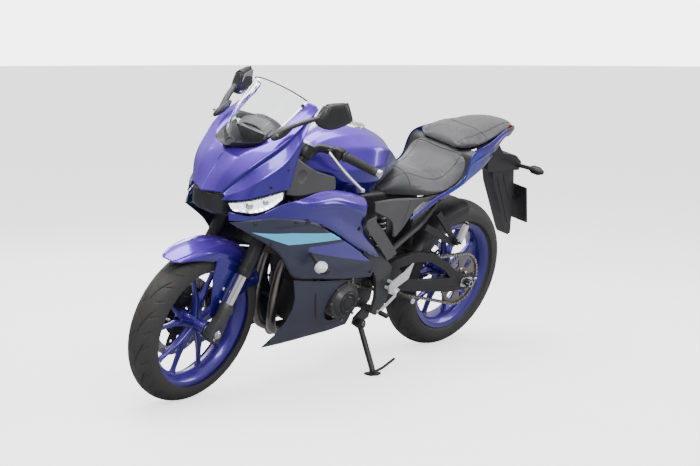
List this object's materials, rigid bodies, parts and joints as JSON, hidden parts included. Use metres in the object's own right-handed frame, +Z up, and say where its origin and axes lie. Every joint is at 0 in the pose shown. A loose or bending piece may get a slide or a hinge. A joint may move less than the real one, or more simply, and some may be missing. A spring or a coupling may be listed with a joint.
{
  "type": "sport motorcycle",
  "caption": "Faired sport motorcycle parked on its side stand, with free wheels, steering, folding stand and hinged fuel cap.",
  "frame": {"origin": "on the ground, at the bottom centre of the box of the parked machine", "axes": "+X forward along the machine, +Y towards the rider's left, the side of its stand, +Z up from the ground; the machine itself leans 13.8 degrees to its left"},
  "size_m": [2.1064, 0.74, 1.1766],
  "materials": {
    "violet_paint": "glossy metallic violet-blue paint on moulded plastic and steel",
    "rim_violet": "satin violet-blue coated cast aluminium",
    "navy_plastic": "matt dark navy paint",
    "black_plastic": "moulded black plastic",
    "grey_plastic": "grained dark grey plastic",
    "frame_paint": "satin dark grey paint on steel",
    "black_metal": "satin black paint on metal",
    "silver_metal": "machined and polished aluminium",
    "dark_steel": "brushed and heat-darkened steel",
    "tyre_rubber": "black road tyre rubber",
    "grip_rubber": "ribbed black rubber",
    "seat_vinyl": "dark grey grained seat vinyl",
    "clear_screen": "clear polycarbonate",
    "lamp_lens": "clear lamp lens",
    "red_lens": "red lamp lens"
  },
  "bodies": {
    "chassis": {"chain": "dark_steel", "engine": "black_metal", "exhaust_pipes": "dark_steel", "footrest_left": "silver_metal", "footrest_right": "silver_metal", "frame": "frame_paint", "frame_cover_left": "grey_plastic", "frame_cover_right": "grey_plastic", "front_signal_left": "black_plastic", "front_signal_right": "black_plastic", "headlight_left": "lamp_lens", "headlight_right": "lamp_lens", "hugger": "black_plastic", "instrument": "black_plastic", "knee_panel_left": "grey_plastic", "knee_panel_right": "grey_plastic", "lower_cowl_left": "navy_plastic", "lower_cowl_right": "navy_plastic", "mid_cowl_left": "violet_paint", "mid_cowl_right": "violet_paint", "mirror_left": "black_plastic", "mirror_right": "black_plastic", "muffler": "black_metal", "nose_cowl": "violet_paint", "nose_duct": "black_plastic", "passenger_peg_left": "black_metal", "passenger_peg_right": "black_metal", "pillion_seat": "seat_vinyl", "plate_carrier": "black_plastic", "radiator": "black_metal", "rear_shock": "dark_steel", "rider_seat": "seat_vinyl", "side_cover_left": "grey_plastic", "side_cover_right": "grey_plastic", "side_cowl_left": "navy_plastic", "side_cowl_right": "navy_plastic", "swingarm": "black_metal", "tail_cowl": "violet_paint", "tail_lamp": "red_lens", "tank": "violet_paint", "windscreen": "clear_screen"},
    "steering": {"fork_yokes": "black_metal", "fork_lowers": "silver_metal", "front_fender": "violet_paint", "handlebar_left": "black_metal", "handlebar_right": "black_metal", "grip_left": "grip_rubber", "grip_right": "grip_rubber"},
    "front_wheel": {"front_tyre": "tyre_rubber", "front_rim": "rim_violet", "front_disc": "dark_steel"},
    "rear_wheel": {"rear_tyre": "tyre_rubber", "rear_rim": "rim_violet", "rear_sprocket": "silver_metal", "rear_disc": "dark_steel"},
    "side_stand": {"side_stand": "black_metal"},
    "fuel_cap": {"fuel_cap": "silver_metal"}
  },
  "joints": [
    {"name": "steering", "type": "hinge", "parent": "chassis", "child": "steering", "pos_m": [0.51757, -0.01262, 0.70863], "axis": [-0.4216, 0.2168, 0.8805], "range_deg": [-38.9, 29.1]},
    {"name": "front_wheel_spin", "type": "hinge", "parent": "steering", "child": "front_wheel", "pos_m": [0.76247, -0.11409, 0.28301], "axis": [-0.0777, 0.9588, -0.2733], "continuous": true},
    {"name": "rear_wheel_spin", "type": "hinge", "parent": "chassis", "child": "rear_wheel", "pos_m": [-0.61738, -0.11218, 0.30579], "axis": [-0.0003, 0.971, -0.2392], "continuous": true},
    {"name": "side_stand_fold", "type": "hinge", "parent": "chassis", "child": "side_stand", "pos_m": [-0.01752, -0.03172, 0.18024], "axis": [0, 1, 0.0028], "range_deg": [0, 98]},
    {"name": "fuel_cap_hinge", "type": "hinge", "parent": "chassis", "child": "fuel_cap", "pos_m": [0.15737, 0.05096, 0.96711], "axis": [-0.0003, 0.971, -0.2392], "range_deg": [0, 90]}
  ]
}
